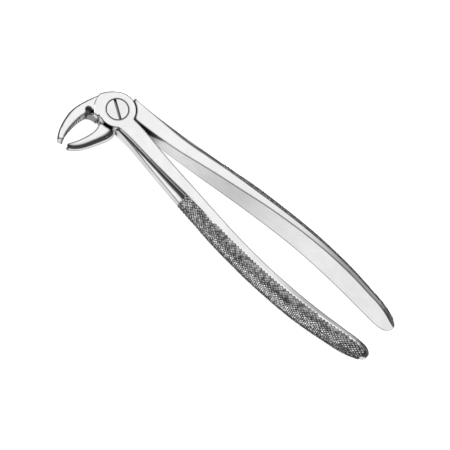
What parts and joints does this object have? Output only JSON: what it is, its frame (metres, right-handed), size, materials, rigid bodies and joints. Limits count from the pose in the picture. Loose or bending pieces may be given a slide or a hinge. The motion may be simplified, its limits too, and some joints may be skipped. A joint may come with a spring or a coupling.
{
  "type": "dental extraction forceps",
  "caption": "Crossed steel lever forceps with beaks square to its handles, a slotted joint screw and knurled bowed handles.",
  "frame": {"origin": "on the hinge axis, at the back face of the lap joint", "axes": "+X along the handles, away from the joint; the beaks point to -Y; +Z along the hinge axis, out of the screw head"},
  "size_m": [0.1689, 0.0466, 0.0146],
  "materials": {
    "polished_steel": "mirror polished stainless steel",
    "screw_steel": "polished stainless steel, faced flush"
  },
  "bodies": {
    "rear_half": {"rear_lever": "polished_steel", "joint_screw": "screw_steel"},
    "front_half": {"front_lever": "polished_steel"}
  },
  "joints": [
    {"name": "hinge", "type": "hinge", "parent": "rear_half", "child": "front_half", "pos_m": [0, 0, 0.005], "axis": [0, 0, 1], "range_deg": [-15, 3.5]}
  ]
}
